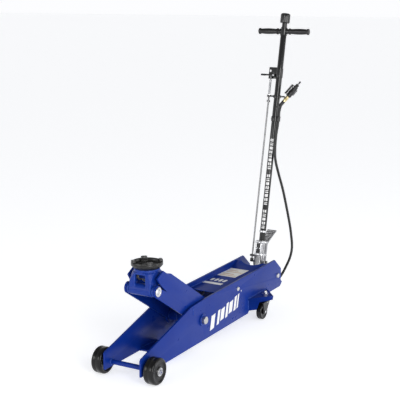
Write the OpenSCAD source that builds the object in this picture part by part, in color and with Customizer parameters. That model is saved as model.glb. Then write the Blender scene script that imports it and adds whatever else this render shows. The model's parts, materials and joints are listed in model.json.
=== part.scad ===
// Long-chassis air-hydraulic trolley jack. Millimetres, +Z up, the saddle end points to -Y.
// Side outlines are drawn as (y, z) with y = 0 at the front axle; placed() then moves every
// part so that the origin is the middle of the footprint. "Left" is the +X side.

/* [Chassis] */
// Distance between the outer faces of the two side plates
chassis_w = 176; // [170:1:184]
// Thickness of a side plate
plate_t = 8; // [6:0.5:10]
// Height of the lift arm's pivot above the floor
pivot_z = 131; // [128:1:134]

/* [Wheels] */
// Diameter of a front wheel
front_wheel_d = 108; // [100:1:110]
// Width of a front wheel
front_wheel_w = 46; // [40:1:50]
// Diameter of a rear caster wheel
caster_wheel_d = 75; // [70:1:76]

/* [Lift arm] */
// Distance from the arm's pivot to the saddle pin
arm_length = 379; // [370:1:385]
// Angle of the arm above the floor at rest
arm_angle = 32.3; // [28:0.1:36]
// Radius of the saddle's rim
saddle_r = 64; // [60:1:64]

/* [Handle] */
// Lean of the handle from upright
handle_tilt = 11.8; // [8:0.1:14]
// Length of the handle tube
tube_l = 1038; // [900:1:1040]
// Outside radius of the handle tube
tube_r = 14.5; // [13:0.5:16]
// Overall width of the cross grip
grip_w = 262; // [240:1:280]

/* [Hidden] */
$fn = 64;
fit = 0.06;
x_out = chassis_w / 2;
x_in = x_out - plate_t;

// front axle
axle_z = front_wheel_d / 2;
axle_r = 10;
wheel_x = x_out + 10.7 + front_wheel_w / 2;

// lift arm, saddle pin and the levelling linkage
pivot = [426, pivot_z];
arm_dir = [cos(arm_angle), -sin(arm_angle)];
arm_up = [sin(arm_angle), cos(arm_angle)];
saddle_pin_at = pivot - arm_length * arm_dir;
pin_r = 16;
arm_x = [65, 72];
link_offset = [25, 45];
link_rear = pivot + link_offset;
link_front = saddle_pin_at + link_offset;
link_pin_r = 8;
lever_l = 66;
lever_lean = 8.8;
lever_at = pivot - lever_l * [sin(lever_lean), cos(lever_lean)];
lever_pin_r = 10;
roller_r = 18;

// hydraulic unit
ram_z = 71;
ram_r = 22;
ram_face = lever_at[0] + roller_r + 1.6;
cylinder_y = [540, 745];
tank_y = [600, 985];
tank_r = 42;
block_y = [985, 1085];
block_top = 128;
plunger_at = [13.5, 113];
motor_at = [55, 94];
motor_r = 18;
spring_rod_at = [738, 186];

// handle: foot is the point of the handle's axis next to the yoke pivot
yoke_pivot = [1143, 148];
yoke_offset = 25;
foot = yoke_pivot - yoke_offset * [cos(handle_tilt), -sin(handle_tilt)];
yoke_roller_at = yoke_pivot - [0, 35];
yoke_roller_r = 9;
cap_face = yoke_roller_at[0] - yoke_roller_r - 0.6;
tube_s = 112;
tube_top = tube_s + tube_l;
grip_s = tube_top + 19;
knob_s = grip_s + 38;
knob_r = 23;
knob_h = 48;
control_at = [-40, -8];
control_r = 4;
lever_s = 957;

// casters
kingpin = [119.5, 950];
trail = 31;
caster_z = caster_wheel_d / 2;
crown_z = 78;
deck_z = 104;
deck_t = 8;

// air hose: route of the centreline as [x, y, z]
hose_r = 6.2;
hose_sides = 10;
hose_steps = 2;
hose_route = [
    [55, 1184, 94], [55, 1202, 96], [57, 1232, 109], [60, 1266, 130], [60, 1302, 153],
    [60, 1340, 183], [60, 1362, 217], [60, 1365, 252], [60, 1355, 295], [60, 1336, 355],
    [54, 1311, 440], [45, 1281, 540], [35, 1249, 626], [27, 1231, 690], [24, 1230, 740],
    [24, 1238, 806], [25.5, 1250, 852], [26, 1256.3, 876.2], [26.2, 1261, 898],
    [29, 1260, 925], [37, 1260.5, 953], [46.2, 1268.3, 970.3]];
valve_at = [46.4, 1268.5, 970.6];
valve_turn = [0, 42.7, 47.4];
lever_hinge_r = 2;

// places the part: middle of the footprint at x = 0, y = 0
rear_end = foot[0] + (knob_s + knob_h) * sin(handle_tilt) + knob_r * cos(handle_tilt);
shift_y = -(rear_end - axle_z) / 2;
module placed() {
    translate([0, shift_y, 0]) children();
}

// ---------------------------------------------------------------- shared shapes

// round bar along X from x0 to x1 through the (y, z) point at
module bar_x(at, r, x0, x1) {
    translate([x0, at[0], at[1]]) rotate([0, 90, 0]) cylinder(r = r, h = x1 - x0);
}

// round bar along Y from y0 to y1 through the (x, z) point at
module bar_y(at, r, y0, y1) {
    translate([at[0], y0, at[1]]) rotate([-90, 0, 0]) cylinder(r = r, h = y1 - y0);
}

// side outline of (y, z) points, extruded from x0 to x1
module side_shape(points, x0, x1) {
    translate([x0, 0, 0]) rotate([90, 0, 90]) linear_extrude(x1 - x0) polygon(points);
}

// straight link between two (y, z) points, h high, with round eyes of radius r
module link(a, b, h, r, x0, x1) {
    d = (b - a) / norm(b - a);
    n = [-d[1], d[0]] * h / 2;
    side_shape([a - n, b - n, b + n, a + n], x0, x1);
    bar_x(a, r, x0, x1);
    bar_x(b, r, x0, x1);
}

// the same thing on both sides
module both_sides() {
    children();
    mirror([1, 0, 0]) children();
}

// point of the arm: u along it from the saddle pin, n above its centre line
function on_arm(u, n) = saddle_pin_at + u * arm_dir + n * arm_up;

// puts z along the handle's axis, starting level with the yoke pivot
module on_handle() {
    translate([0, foot[0], foot[1]]) rotate([-handle_tilt, 0, 0]) children();
}

// puts z along the air inlet valve
module on_valve() {
    translate(valve_at) rotate(valve_turn) children();
}

// box between two corners, given as x0 to x1, y0 to y1 and z0 to z1
module block(x0, x1, y0, y1, z0, z1) {
    translate([x0, y0, z0]) cube([x1 - x0, y1 - y0, z1 - z0]);
}

// ---------------------------------------------------------------- chassis

module side_plate() {
    difference() {
        side_shape([[-45, 34], [440, 38], [840, 42], [880, 84], [1175, 87], [1197, 104],
            [1180, 121], [1185, 130], [1183, 175], [1115, 231], [1046, 229], [465, 218],
            [337, 211], [-39, 106], [-45, 98]], x_in, x_out);
        bar_x([0, axle_z], axle_r + fit, x_in - 1, x_out + 1);
        bar_x(pivot, pin_r + fit, x_in - 1, x_out + 1);
        bar_x(spring_rod_at, 6 + fit, x_in - 1, x_out + 1);
        bar_x(yoke_pivot, 8 + fit, x_in - 1, x_out + 1);
    }
}

module left_side_plate() {
    color("royalblue") side_plate();
}

module right_side_plate() {
    color("royalblue") mirror([1, 0, 0]) side_plate();
}

module front_axle() {
    end_x = wheel_x + front_wheel_w / 2 + 8;
    color("royalblue") bar_x([0, axle_z], axle_r, -end_x, end_x);
}

// on each side: distance tube, outer washer and retaining ring
module axle_hardware() {
    face = wheel_x + front_wheel_w / 2;
    color("silver") both_sides() difference() {
        union() {
            bar_x([0, axle_z], 14, x_out, wheel_x - front_wheel_w / 2 - 0.4);
            bar_x([0, axle_z], 17, face + 0.4, face + 2.4);
            bar_x([0, axle_z], 14, face + 3.2, face + 4.8);
        }
        bar_x([0, axle_z], axle_r + fit, x_out - 1, face + 6);
    }
}

module lower_cross_plate() {
    color("royalblue") block(-x_in, x_in, 200, 330, 36, 44);
}

// flat lid that bends up at the back and is cut round for the handle socket
module top_cover() {
    front_y = 600;
    bend_y = 985;
    top_z = 200;
    t = 4;
    rise = 27;
    back_y = 1046;
    color("royalblue") difference() {
        side_shape([[front_y, top_z - t], [bend_y, top_z - t], [back_y + 20, top_z + rise + 5],
            [back_y + 20, top_z + rise + 5 + t], [bend_y, top_z], [front_y, top_z]],
            -x_in, x_in);
        translate([0, back_y + 62, top_z - 20]) cylinder(r = 84, h = 90);
        block(-x_in - 1, x_in + 1, back_y, back_y + 40, top_z - 20, top_z + 80);
    }
}

// rear wing that carries a caster: deck, edge flange and swivel cup
module outrigger() {
    front = [x_out, 839];
    tip = [168, 938];
    edge = tip - front;
    difference() {
        union() {
            translate([0, 0, deck_z]) linear_extrude(deck_t)
                polygon([front, tip, [131, 982], [x_out, 1030]]);
            intersection() {
                translate([front[0], front[1], 0]) rotate([90, 0, atan2(edge[1], edge[0])])
                    translate([0, 0, -4]) linear_extrude(4)
                    polygon([[-6, deck_z + deck_t], [-6, 55], [44, 55], [58, 90],
                        [norm(edge) - 2, 94], [norm(edge) - 2, deck_z + deck_t]]);
                block(x_out, 168, 830, 960, 50, deck_z + deck_t);
            }
            translate([kingpin[0], kingpin[1], crown_z + 4.5])
                cylinder(r = 19, h = deck_z - crown_z - 4.5);
        }
        translate([kingpin[0], kingpin[1], crown_z]) cylinder(r = 6 + fit, h = 50);
    }
}

module left_outrigger() {
    color("royalblue") outrigger();
}

module right_outrigger() {
    color("royalblue") mirror([1, 0, 0]) outrigger();
}

module arm_pivot_shaft() {
    color("silver") bar_x(pivot, pin_r, -x_out - 18, x_out + 18);
}

// cross rod with domed heads; the return springs hook over it
module spring_cross_rod() {
    color("silver") union() {
        bar_x(spring_rod_at, 6, -x_out - 3, x_out + 3);
        both_sides() bar_x(spring_rod_at, 8.5, x_out, x_out + 6);
    }
}

// two shouldered bolts that the yoke swings on
module yoke_pivot_bolts() {
    color("silver") both_sides() {
        bar_x(yoke_pivot, 8, 21.9, x_out + 3);
        bar_x(yoke_pivot, 12, 30, x_in);
        bar_x(yoke_pivot, 10.5, x_out, x_out + 7);
    }
}

module caster_kingpins() {
    color("silver") both_sides() translate([kingpin[0], kingpin[1], 0]) {
        translate([0, 0, crown_z - 8]) cylinder(r = 9, h = 7.5);
        translate([0, 0, crown_z - 8]) cylinder(r = 6, h = deck_z + deck_t + 22 - crown_z);
        translate([0, 0, deck_z + deck_t]) cylinder(r = 11, h = 10, $fn = 6);
    }
}

// ---------------------------------------------------------------- hydraulic unit

module hydraulic_cylinder() {
    bore_r = 30;
    color("dimgray") difference() {
        bar_y([0, ram_z], 36, cylinder_y[0], cylinder_y[1]);
        bar_y([0, ram_z], ram_r + fit, cylinder_y[0] - 1, cylinder_y[1] - 20);
        bar_y([0, ram_z], bore_r, cylinder_y[0] + 35, cylinder_y[1] - 10);
    }
}

module reservoir_tube() {
    color("royalblue") difference() {
        bar_y([0, ram_z], tank_r, tank_y[0], tank_y[1]);
        bar_y([0, ram_z], 36 + fit, tank_y[0] - 1, cylinder_y[1] + fit);
        bar_y([0, ram_z], tank_r - 4, tank_y[0] + 12, tank_y[1] - 10);
    }
}

module pump_block() {
    color("dimgray") difference() {
        union() {
            block(-30, 30, block_y[0], block_y[1], 50, block_top);
            block(-20, 4.9, block_y[1], 1122, 95, block_top);
        }
        bar_y(plunger_at, 7 + fit, 1030, block_y[1] + 1);
        on_handle() translate([0, 0, -48]) cylinder(r = 3.95, h = 40);
    }
}

module air_motor() {
    color("dimgray") union() {
        bar_y(motor_at, motor_r, 1000, 1165);
        bar_y(motor_at, motor_r + 3, 1010, 1022);
        bar_y(motor_at, motor_r + 3, 1140, 1152);
        block(30, 45, 1025, 1060, 84, 104);
    }
}

module hose_gland() {
    color("goldenrod") union() {
        bar_y(motor_at, 11, 1165, 1175);
        bar_y(motor_at, 8.5, 1165, 1183.5);
    }
}

// two lugs and a cross pin on the cylinder: rear anchor of the levelling rods
module rod_bracket() {
    base_y = [545, 592];
    color("royalblue") union() {
        block(-49, 49, base_y[0], base_y[1], ram_z + 36, ram_z + 44);
        both_sides() {
            side_shape([link_rear + [-6, -13], [540, ram_z + 37], [base_y[1], ram_z + 36],
                [base_y[1], ram_z + 46], [552, ram_z + 54], link_rear + [9, 11]], 41, 49);
            bar_x(link_rear, 14, 41, 49);
        }
        bar_x(link_rear, link_pin_r, -49, 49);
    }
}

module ram_rod() {
    color("silver") union() {
        bar_y([0, ram_z], ram_r, ram_face, 665);
        bar_y([0, ram_z], 29.94, 640, 665);
    }
}

module pump_plunger() {
    color("silver") union() {
        bar_y(plunger_at, 7, block_y[1] - 10, cap_face);
        bar_y(plunger_at, 8.4, cap_face - 5, cap_face);
    }
}

module plunger_spring() {
    color("silver") difference() {
        bar_y(plunger_at, 8.2, block_y[1], cap_face - 5);
        bar_y(plunger_at, 7.2, block_y[1] - 1, cap_face);
    }
}

// two extension springs from the lever pin back to the cross rod, as plain tubes
module return_springs() {
    run = spring_rod_at - lever_at;
    away = run / norm(run);
    start = lever_at + 13 * away;
    slope = atan2(away[1], away[0]);
    color("silver") both_sides()
        translate([57, start[0], start[1]]) rotate([slope - 90, 0, 0]) difference() {
            cylinder(r = 5.5, h = norm(run) - 23);
            translate([0, 0, -1]) cylinder(r = 3.5, h = norm(run));
        }
}

// ---------------------------------------------------------------- lift arm

module arm_plate() {
    difference() {
        union() {
            side_shape([on_arm(0, -24), on_arm(379, -24), on_arm(419, 0), on_arm(419, 62),
                on_arm(400, 95.5), on_arm(54, 95.5), on_arm(24, 86), on_arm(-6, 86),
                on_arm(-29, 44), on_arm(-3, 32), on_arm(66, 21), on_arm(17, 17),
                on_arm(0, 0)], arm_x[0], arm_x[1]);
            bar_x(saddle_pin_at, 24, arm_x[0], arm_x[1]);
            bar_x(pivot, 40, arm_x[0], arm_x[1]);
        }
        bar_x(saddle_pin_at, pin_r + fit, arm_x[0] - 1, arm_x[1] + 1);
        bar_x(pivot, pin_r + fit, arm_x[0] - 1, arm_x[1] + 1);
    }
}

module left_arm_plate() {
    color("royalblue") arm_plate();
}

module right_arm_plate() {
    color("royalblue") mirror([1, 0, 0]) arm_plate();
}

module arm_web() {
    color("royalblue") side_shape([on_arm(125, 88), on_arm(398, 88), on_arm(398, 95.5),
        on_arm(125, 95.5)], -arm_x[0], arm_x[0]);
}

module arm_pivot_tube() {
    color("royalblue") difference() {
        bar_x(pivot, 25, -arm_x[0], arm_x[0]);
        bar_x(pivot, pin_r + fit, -arm_x[0] - 1, arm_x[0] + 1);
    }
}

module lever_plates() {
    color("royalblue") both_sides() difference() {
        union() {
            link(pivot, lever_at, 32, 16, 25, 35);
            bar_x(pivot, 28, 25, 35);
        }
        bar_x(pivot, 25 + fit, 24, 36);
        bar_x(lever_at, lever_pin_r + fit, 24, 36);
    }
}

module lever_pin() {
    color("silver") bar_x(lever_at, lever_pin_r, -62, 62);
}

module lever_roller() {
    color("silver") difference() {
        bar_x(lever_at, roller_r, -24, 24);
        bar_x(lever_at, lever_pin_r + fit, -25, 25);
    }
}

module saddle_pin() {
    color("silver") union() {
        bar_x(saddle_pin_at, pin_r, -74, 74);
        both_sides() bar_x(saddle_pin_at, 19.5, arm_x[1] + 0.3, arm_x[1] + 4);
    }
}

module pin_spacers() {
    color("royalblue") both_sides() difference() {
        bar_x(saddle_pin_at, 22, 50.4, arm_x[0] - 0.2);
        bar_x(saddle_pin_at, pin_r + fit, 50, arm_x[0] + 1);
    }
}

// ---------------------------------------------------------------- saddle and levelling rods

saddle_axis = [0, saddle_pin_at[0] + 33];
mount_top = saddle_pin_at[1] + 82;

// casting that leans back from the saddle pin to a round table for the saddle
module saddle_mount() {
    y0 = saddle_pin_at[0];
    z0 = saddle_pin_at[1];
    post_r = 15 + fit;
    color("royalblue") difference() {
        union() {
            bar_x(saddle_pin_at, 24, -50, 50);
            intersection() {
                union() {
                    both_sides() side_shape([[y0 - 22, z0 + 8], [y0 - 19, z0 + 71],
                        [y0 + 72, z0 + 71], [y0 + 48, z0 + 34], [y0 + 22, z0 - 8],
                        [y0, z0]], 36, 50);
                    both_sides() block(24, 37, y0 - 20, y0 - 8, z0 + 10, z0 + 71);
                    block(-37, 37, y0 - 20, y0 - 8, z0 + 63, z0 + 71);
                }
                translate([0, saddle_axis[1], z0 - 9]) cylinder(r1 = 92, r2 = 56, h = 81);
            }
            translate([0, saddle_axis[1], mount_top - 12]) cylinder(r = 52, h = 12);
            bar_x(link_front, link_pin_r, -40, 40);
        }
        bar_x(saddle_pin_at, pin_r + fit, -51, 51);
        translate([0, saddle_axis[1], mount_top - 30]) cylinder(r = post_r, h = 40);
    }
}

// dished cup with four lugs and the post it swivels on
module saddle() {
    base_z = mount_top + 0.3;
    color("black") translate([0, saddle_axis[1], base_z]) {
        rotate_extrude() polygon([[0, 0], [52, 0], [saddle_r, 13], [saddle_r, 25],
            [saddle_r - 7, 25], [saddle_r - 12, 12], [0, 10]]);
        translate([0, 0, -19]) cylinder(r = 15, h = 20);
        for (turn = [45 : 90 : 315]) rotate(turn) translate([saddle_r - 14, -13, 12])
            intersection() {
                cube([12, 26, 21]);
                translate([14 - saddle_r, 13, 0]) cylinder(r = saddle_r - 0.5, h = 30);
            }
    }
}

module radius_rods() {
    color("silver") both_sides() difference() {
        link(link_rear, link_front, 16, 15, 27, 35);
        bar_x(link_rear, link_pin_r + fit, 26, 36);
        bar_x(link_front, link_pin_r + 0.5, 26, 36);
    }
}

// ---------------------------------------------------------------- wheels and casters

// turned wheel about X: tread radius r, width w, rounded corners and a dished face
module wheel(at, x, r, w, bore, hub, corner) {
    rounding = [for (a = [0 : 15 : 90])
        [r - corner + corner * sin(a), w / 2 - corner + corner * cos(a)]];
    lower = [for (p = rounding) [p[0], -p[1]]];
    upper = [for (i = [len(rounding) - 1 : -1 : 0]) rounding[i]];
    rim = r - corner - 3;
    web = w / 2 - 5;
    translate([x, at[0], at[1]]) rotate([0, 90, 0]) rotate_extrude()
        polygon(concat([[bore, -w / 2], [hub, -w / 2], [hub + 2, -web], [rim - 3, -web],
            [rim, -w / 2]], lower, upper, [[rim, w / 2], [rim - 3, web], [hub + 2, web],
            [hub, w / 2], [bore, w / 2]]));
}

module left_front_wheel() {
    color("black") wheel([0, axle_z], wheel_x, axle_z, front_wheel_w, axle_r + fit, 19, 9);
}

module right_front_wheel() {
    color("black") wheel([0, axle_z], -wheel_x, axle_z, front_wheel_w, axle_r + fit, 19, 9);
}

// fork with its riveted axle; the swivel axis is the kingpin
module caster_fork() {
    x = kingpin[0];
    y = kingpin[1];
    axle = [y - trail, caster_z];
    difference() {
        union() {
            block(x - 17, x + 17, y - 47, y + 20, crown_z, crown_z + 4);
            for (side = [-1, 1]) side_shape([[y - 47, crown_z + 4], [y + 20, crown_z + 4],
                [y - trail + 13, caster_z - 8], [y - trail + 6, caster_z - 13],
                [y - trail - 6, caster_z - 13], [y - trail - 13, caster_z - 8]],
                x + side * 15.2 - 1.8, x + side * 15.2 + 1.8);
            bar_x(axle, 6, x - 20, x + 20);
        }
        translate([x, y, crown_z - 1]) cylinder(r = 6 + fit, h = 6);
    }
}

module left_caster_fork() {
    color("black") caster_fork();
}

module right_caster_fork() {
    color("black") mirror([1, 0, 0]) caster_fork();
}

module left_caster_wheel() {
    color("black") wheel([kingpin[1] - trail, caster_z], kingpin[0], caster_z, 24,
        6 + fit, 9, 5);
}

module right_caster_wheel() {
    color("black") wheel([kingpin[1] - trail, caster_z], -kingpin[0], caster_z, 24,
        6 + fit, 9, 5);
}

// ---------------------------------------------------------------- handle

// round socket above, forked yoke below, with a guide lug for the control rod
module handle_socket() {
    color("silver") difference() {
        union() {
            on_handle() translate([0, 0, 45]) cylinder(r = 29, h = 113);
            on_handle() both_sides() {
                side_shape([[-18, 62], [25, 62], [42, 2], [9, -4]], 22, 29);
                bar_x([yoke_offset, 0], 17, 22, 29);
            }
            side_shape([yoke_pivot + [-13, -8], yoke_roller_at + [-9, 0],
                yoke_roller_at + [9, 0], yoke_pivot + [13, -8]], 22, 29);
            bar_x(yoke_roller_at, 9, 22, 29);
            bar_x(yoke_roller_at, 4, 5.2, 23);
            on_handle() block(-50, -26, -14, -2, 78, 88);
        }
        on_handle() {
            block(-16, 16, -40, 40, 40, 88);
            translate([0, 0, 80]) cylinder(r = 8, h = 40);
            translate([0, 0, tube_s]) cylinder(r = tube_r + fit, h = 60);
            translate([control_at[0], control_at[1], 70]) cylinder(r = control_r + fit, h = 30);
        }
        both_sides() bar_x(yoke_pivot, 8 + fit, 21, 31);
    }
}

module yoke_roller() {
    color("silver") difference() {
        bar_x(yoke_roller_at, yoke_roller_r, 6, 21.5);
        bar_x(yoke_roller_at, 4 + fit, 5, 23);
    }
}

module handle_tube() {
    color("black") on_handle() translate([0, 0, tube_s]) difference() {
        cylinder(r = tube_r, h = tube_l);
        translate([0, 0, -1]) cylinder(r = tube_r - 2.5, h = tube_l + 2);
    }
}

module tube_collar() {
    color("silver") on_handle() translate([0, 0, 198]) difference() {
        cylinder(r = tube_r + 3.5, h = 9);
        translate([0, 0, -1]) cylinder(r = tube_r + fit, h = 12);
    }
}

module t_bar() {
    color("black") on_handle() difference() {
        union() {
            translate([0, 0, tube_top]) cylinder(r = tube_r + 1, h = 38);
            bar_x([0, grip_s], 11.5, -grip_w / 2 + 2, grip_w / 2 - 2);
        }
        translate([0, 0, tube_top - 1]) cylinder(r = 5.3, h = 60);
    }
}

module hand_grips() {
    color("black") on_handle() both_sides() difference() {
        union() {
            bar_x([0, grip_s], 13.5, 34, grip_w / 2);
            bar_x([0, grip_s], 15, 28, 36);
            bar_x([0, grip_s], 15, grip_w / 2 - 8, grip_w / 2);
        }
        bar_x([0, grip_s], 11.5 + fit, 27, grip_w / 2 - 2 + fit);
    }
}

module foot_pedal() {
    color("silver") on_handle() union() {
        side_shape([[29.2, 92], [29.2, 140], [50, 152], [58, 141], [37, 126], [37, 92]],
            -12, 12);
        side_shape([[50, 146], [99, 213], [106, 207], [57, 141]], -24.5, 24.5);
    }
}

// pivot stud of the control lever, from the lever's front face to y = back_y
module lever_stud(r, back_y) {
    translate([-26, -11, lever_s]) rotate([-90, 0, 0]) cylinder(r = r, h = 11 + back_y);
}

module control_bracket() {
    color("black") on_handle() difference() {
        union() {
            translate([0, 0, 946]) cylinder(r = tube_r + 2, h = 44);
            block(-57, -14, 1, 5, 940, 996);
        }
        translate([0, 0, 940]) cylinder(r = tube_r + fit, h = 60);
        translate([-50, -1, 978]) rotate([-90, 0, 0]) cylinder(r = 5.5, h = 10);
        lever_stud(3 + fit, 10);
    }
}

// lever on a pivot stud; it pushes the top of the control rod down
module control_lever() {
    color("black") on_handle() union() {
        block(-92, -20, -11, -5, lever_s - 3.5, lever_s + 4);
        lever_stud(3, 6.5);
        lever_stud(6, 0.5);
    }
}

module control_rod() {
    color("silver") on_handle() union() {
        translate([control_at[0], control_at[1], 56])
            cylinder(r = control_r, h = lever_s - 4.8 - 56);
        block(control_at[0] - 6, control_at[0] + 6, control_at[1] - 6, control_at[1] + 6,
            52, 70);
        translate([control_at[0], control_at[1], 826]) cylinder(r = 8.5, h = 9);
    }
}

module rod_sleeve() {
    color("gray") on_handle() translate([control_at[0], control_at[1], 868]) difference() {
        cylinder(r = 6.5, h = 66);
        translate([0, 0, -1]) cylinder(r = control_r + fit, h = 70);
    }
}

// clamp on the tube with an eye for the rod and a hook arm for the air valve
module rod_guide() {
    color("black") on_handle() difference() {
        union() {
            translate([0, 0, 848]) cylinder(r = tube_r + 4, h = 14);
            block(-42, -12, -12, -4, 851, 859);
            translate([control_at[0], control_at[1], 851]) cylinder(r = 9, h = 8);
            block(12, 47, -18, -10, 851, 858);
        }
        translate([0, 0, 840]) cylinder(r = tube_r + fit, h = 40);
        translate([control_at[0], control_at[1], 840]) cylinder(r = control_r + fit, h = 30);
    }
}

// clamp that holds the hose against the tube
module hose_clip() {
    at = [26, -13];
    clip_h = 24;
    color("black") on_handle() translate([0, 0, 736]) difference() {
        union() {
            cylinder(r = tube_r + 3, h = clip_h);
            translate([at[0], at[1], 0]) cylinder(r = hose_r + 2.6, h = clip_h);
            rotate(atan2(at[1], at[0])) block(12, 24, -4, 4, 0, clip_h);
        }
        translate([0, 0, -1]) cylinder(r = tube_r + fit, h = clip_h + 2);
        translate([at[0], at[1], -1]) cylinder(r = hose_r + 0.5, h = clip_h + 2);
    }
}

module release_knob() {
    color("black") on_handle() difference() {
        union() {
            translate([0, 0, knob_s]) cylinder(r = knob_r, h = knob_h);
            translate([0, 0, knob_s - 18]) cylinder(r = 12.5, h = 19);
        }
        translate([0, 0, knob_s - 20]) cylinder(r = 5 + fit, h = 50);
    }
}

module release_rod() {
    color("silver") on_handle() union() {
        translate([0, 0, 12]) cylinder(r = 5, h = knob_s + 16);
        translate([0, 0, 12]) cylinder(r = 7, h = 18);
    }
}

// valve spindle in the pump block with the lower half of the universal joint
module release_valve() {
    color("silver") on_handle() difference() {
        union() {
            translate([0, 0, -47]) cylinder(r = 3.9, h = 40);
            translate([0, 0, -10]) cylinder(r = 8, h = 17);
        }
        block(-3, 3, -9, 9, -1, 8);
    }
}

// ---------------------------------------------------------------- air line

// centreline point: Catmull-Rom curve through the route, t from 0 at the gland
function route_end(i) = hose_route[max(0, min(len(hose_route) - 1, i))];
function curve(a, b, c, d, t) = 0.5 * (2 * b + (c - a) * t + (2 * a - 5 * b + 4 * c - d) * t * t
    + (3 * b - a - 3 * c + d) * t * t * t);
function hose_point(k) = let (i = min(floor(k / hose_steps), len(hose_route) - 2),
    t = k / hose_steps - i)
    curve(route_end(i - 1), route_end(i), route_end(i + 1), route_end(i + 2), t);
function unit(v) = v / norm(v);
function hose_along(k) = unit(hose_point(min(k + 0.5, hose_rings - 1))
    - hose_point(max(k - 0.5, 0)));
hose_rings = (len(hose_route) - 1) * hose_steps + 1;

// ring of points round the centreline; its first axis stays close to +X
function hose_ring(k) = let (d = hose_along(k), e = unit([1, 0, 0] - d[0] * d), f = cross(d, e))
    [for (j = [0 : hose_sides - 1]) hose_point(k)
        + hose_r * (cos(j * 360 / hose_sides) * e + sin(j * 360 / hose_sides) * f)];

module air_hose() {
    n = hose_sides;
    last = (hose_rings - 1) * n;
    points = [for (k = [0 : hose_rings - 1]) each hose_ring(k)];
    walls = [for (k = [0 : hose_rings - 2], j = [0 : n - 1])
        [(k + 1) * n + j, (k + 1) * n + (j + 1) % n, k * n + (j + 1) % n, k * n + j]];
    start_cap = [for (j = [0 : n - 1]) j];
    end_cap = [for (j = [n - 1 : -1 : 0]) last + j];
    color("black") polyhedron(points, concat(walls, [start_cap], [end_cap]));
}

module hose_fitting() {
    color("goldenrod") on_valve() union() {
        cylinder(r = 8, h = 12);
        translate([0, 0, 10]) cylinder(r = 9.5, h = 14, $fn = 6);
        translate([0, 0, 22]) cylinder(r = 7, h = 10);
    }
}

// hinge pin of the thumb lever, half_l to each side of the valve's axis
module valve_hinge(r, half_l) {
    translate([-15, half_l, 82]) rotate([90, 0, 0]) cylinder(r = r, h = 2 * half_l);
}

module air_valve() {
    color("dimgray") on_valve() difference() {
        union() {
            translate([0, 0, 32]) cylinder(r = 12, h = 62);
            translate([0, 0, 94]) cylinder(r = 8.5, h = 12);
            translate([0, 0, 106]) cylinder(r = 4, h = 20);
            block(-18, -8, -5, 5, 79, 90);
        }
        valve_hinge(lever_hinge_r + fit, 7);
    }
}

// thumb lever that opens the air valve, hinged on the valve's upper ear
module valve_lever() {
    color("dimgray") on_valve() union() {
        block(-22.5, -18.5, -9, 9, 34, 90);
        block(-20, -12, -9, -5.3, 77, 87);
        block(-20, -12, 5.3, 9, 77, 87);
        valve_hinge(lever_hinge_r, 9);
    }
}

placed() left_side_plate();
placed() right_side_plate();
placed() front_axle();
placed() axle_hardware();
placed() lower_cross_plate();
placed() top_cover();
placed() left_outrigger();
placed() right_outrigger();
placed() arm_pivot_shaft();
placed() spring_cross_rod();
placed() yoke_pivot_bolts();
placed() hydraulic_cylinder();
placed() reservoir_tube();
placed() pump_block();
placed() air_motor();
placed() hose_gland();
placed() rod_bracket();
placed() caster_kingpins();
placed() left_arm_plate();
placed() right_arm_plate();
placed() arm_web();
placed() arm_pivot_tube();
placed() lever_plates();
placed() lever_pin();
placed() saddle_pin();
placed() pin_spacers();
placed() lever_roller();
placed() saddle_mount();
placed() saddle();
placed() radius_rods();
placed() ram_rod();
placed() left_front_wheel();
placed() right_front_wheel();
placed() left_caster_fork();
placed() right_caster_fork();
placed() left_caster_wheel();
placed() right_caster_wheel();
placed() handle_socket();
placed() handle_tube();
placed() t_bar();
placed() hand_grips();
placed() foot_pedal();
placed() control_bracket();
placed() rod_guide();
placed() hose_clip();
placed() yoke_roller();
placed() tube_collar();
placed() release_knob();
placed() release_rod();
placed() release_valve();
placed() control_lever();
placed() control_rod();
placed() rod_sleeve();
placed() pump_plunger();
placed() plunger_spring();
placed() return_springs();
placed() air_hose();
placed() hose_fitting();
placed() air_valve();
placed() valve_lever();
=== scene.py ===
import json
import math
import random

import bmesh
import bpy
from mathutils import Matrix, Vector

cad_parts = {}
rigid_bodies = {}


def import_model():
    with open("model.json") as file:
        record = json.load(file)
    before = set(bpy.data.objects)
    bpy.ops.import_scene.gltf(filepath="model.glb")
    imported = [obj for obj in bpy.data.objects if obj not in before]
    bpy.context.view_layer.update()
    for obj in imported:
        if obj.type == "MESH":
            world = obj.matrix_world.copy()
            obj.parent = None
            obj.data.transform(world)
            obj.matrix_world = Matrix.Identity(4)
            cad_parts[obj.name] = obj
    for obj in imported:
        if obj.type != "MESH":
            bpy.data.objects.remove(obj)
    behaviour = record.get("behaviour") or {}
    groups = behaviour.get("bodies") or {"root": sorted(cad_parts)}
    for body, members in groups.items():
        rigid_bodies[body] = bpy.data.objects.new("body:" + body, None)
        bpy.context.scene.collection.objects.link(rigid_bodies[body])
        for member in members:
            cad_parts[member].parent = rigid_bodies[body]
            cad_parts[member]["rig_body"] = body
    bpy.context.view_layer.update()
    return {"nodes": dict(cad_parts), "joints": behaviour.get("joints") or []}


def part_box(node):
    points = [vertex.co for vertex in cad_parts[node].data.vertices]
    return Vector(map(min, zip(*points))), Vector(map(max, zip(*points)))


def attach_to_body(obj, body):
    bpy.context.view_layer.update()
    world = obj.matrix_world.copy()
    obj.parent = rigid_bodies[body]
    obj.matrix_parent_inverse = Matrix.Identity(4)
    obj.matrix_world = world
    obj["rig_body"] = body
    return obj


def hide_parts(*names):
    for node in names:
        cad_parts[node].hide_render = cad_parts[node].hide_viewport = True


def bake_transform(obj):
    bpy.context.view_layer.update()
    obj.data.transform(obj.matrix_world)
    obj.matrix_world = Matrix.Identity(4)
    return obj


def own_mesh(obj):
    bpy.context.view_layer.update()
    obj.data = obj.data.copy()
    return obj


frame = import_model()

MM = 0.001
X_AXIS = Vector((1, 0, 0))
Y_AXIS = Vector((0, 1, 0))
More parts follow.
